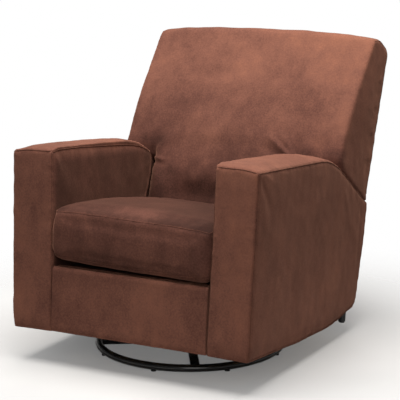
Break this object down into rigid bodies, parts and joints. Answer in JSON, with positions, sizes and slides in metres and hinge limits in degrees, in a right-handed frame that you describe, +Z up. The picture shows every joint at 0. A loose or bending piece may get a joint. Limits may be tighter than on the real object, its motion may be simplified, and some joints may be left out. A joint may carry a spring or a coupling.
{
  "type": "glider nursery chair",
  "caption": "Upholstered swivel glider armchair: suede-look body with square arms, tight back and loose seat cushion on hanger links over a black ring base.",
  "frame": {"origin": "on the floor, under the middle of the whole chair's box; the swivel axis is 117 mm in front of it", "axes": "+Z up; the sitter faces -Y; +X is the sitter's left hand and -X the right hand"},
  "size_m": [0.7798, 0.9887, 0.8962],
  "materials": {
    "suede": "matte",
    "deck_cloth": "matte",
    "gloss_black_steel": "gloss",
    "black_steel": "satin",
    "zinc_steel": "satin",
    "black_plastic": "satin",
    "rubber": "matte",
    "timber": "matte"
  },
  "bodies": {
    "base": {"base_ring": "gloss_black_steel", "spoke_1": "gloss_black_steel", "spoke_2": "gloss_black_steel", "spoke_3": "gloss_black_steel", "spoke_4": "gloss_black_steel", "hub_plate": "gloss_black_steel", "floor_glides": "black_plastic", "lower_race": "zinc_steel", "race_rivets": "zinc_steel"},
    "ball_cage": {"ball_cage": "black_plastic", "bearing_balls": "zinc_steel"},
    "turntable": {"upper_race": "zinc_steel", "turntable_plate": "black_steel", "cradle_bracket_left": "black_steel", "cradle_bracket_right": "black_steel", "cradle_ties": "black_steel", "glide_bumpers": "rubber", "top_pivot_bolts": "zinc_steel"},
    "hanger_front_left": {"link_front_left": "black_steel", "bushes_front_left": "black_plastic"},
    "hanger_front_right": {"link_front_right": "black_steel", "bushes_front_right": "black_plastic"},
    "hanger_rear_left": {"link_rear_left": "black_steel", "bushes_rear_left": "black_plastic"},
    "hanger_rear_right": {"link_rear_right": "black_steel", "bushes_rear_right": "black_plastic"},
    "chair": {"carriage_rail_left": "black_steel", "carriage_rail_right": "black_steel", "bottom_pivot_bolts": "zinc_steel", "mechanism_screws": "zinc_steel", "mechanism_board_front": "timber", "mechanism_board_rear": "timber", "seat_rail_front": "timber", "seat_rail_rear": "timber", "seat_rail_left": "timber", "seat_rail_right": "timber", "corner_blocks": "timber", "seat_springs": "zinc_steel", "spring_clips": "zinc_steel", "seat_deck": "deck_cloth", "front_rail_cover": "suede", "arm_front_post_left": "timber", "arm_front_post_right": "timber", "arm_rear_post_left": "timber", "arm_rear_post_right": "timber", "arm_top_rail_left": "timber", "arm_top_rail_right": "timber", "arm_bottom_rail_left": "timber", "arm_bottom_rail_right": "timber", "arm_left": "suede", "arm_right": "suede", "back_post_left": "timber", "back_post_right": "timber", "back_top_rail": "timber", "back_bottom_rail": "timber", "back_springs": "zinc_steel", "inside_back": "suede", "outside_back": "suede", "rear_feet": "black_plastic"},
    "seat_cushion": {"seat_cushion": "suede"}
  },
  "joints": [
    {"name": "swivel", "type": "hinge", "parent": "base", "child": "turntable", "pos_m": [0, -0.117, 0.047], "axis": [0, 0, 1], "continuous": true},
    {"name": "cage_roll", "type": "hinge", "parent": "base", "child": "ball_cage", "pos_m": [0, -0.117, 0.033], "axis": [0, 0, 1], "continuous": true},
    {"name": "glide", "type": "hinge", "parent": "turntable", "child": "hanger_front_left", "pos_m": [0, -0.212, 0.21], "axis": [1, 0, 0], "range_deg": [-22, 22]},
    {"name": "chair_hang", "type": "hinge", "parent": "hanger_front_left", "child": "chair", "pos_m": [0, -0.212, 0.085], "axis": [1, 0, 0], "range_deg": [-22, 22]},
    {"name": "hang_front_right", "type": "hinge", "parent": "turntable", "child": "hanger_front_right", "pos_m": [0, -0.212, 0.21], "axis": [1, 0, 0], "range_deg": [-22, 22]},
    {"name": "hang_rear_left", "type": "hinge", "parent": "turntable", "child": "hanger_rear_left", "pos_m": [0, -0.022, 0.21], "axis": [1, 0, 0], "range_deg": [-22, 22]},
    {"name": "hang_rear_right", "type": "hinge", "parent": "turntable", "child": "hanger_rear_right", "pos_m": [0, -0.022, 0.21], "axis": [1, 0, 0], "range_deg": [-22, 22]},
    {"name": "seat_cushion_lift", "type": "slide", "parent": "chair", "child": "seat_cushion", "axis": [0, -0.5, 0.866], "range_m": [0, 0.35]}
  ],
  "couplings": [
    {"joint": "cage_roll", "follows": "swivel", "ratio": 0.5},
    {"joint": "chair_hang", "follows": "glide", "ratio": -1},
    {"joint": "hang_front_right", "follows": "glide", "ratio": 1},
    {"joint": "hang_rear_left", "follows": "glide", "ratio": 1},
    {"joint": "hang_rear_right", "follows": "glide", "ratio": 1}
  ]
}
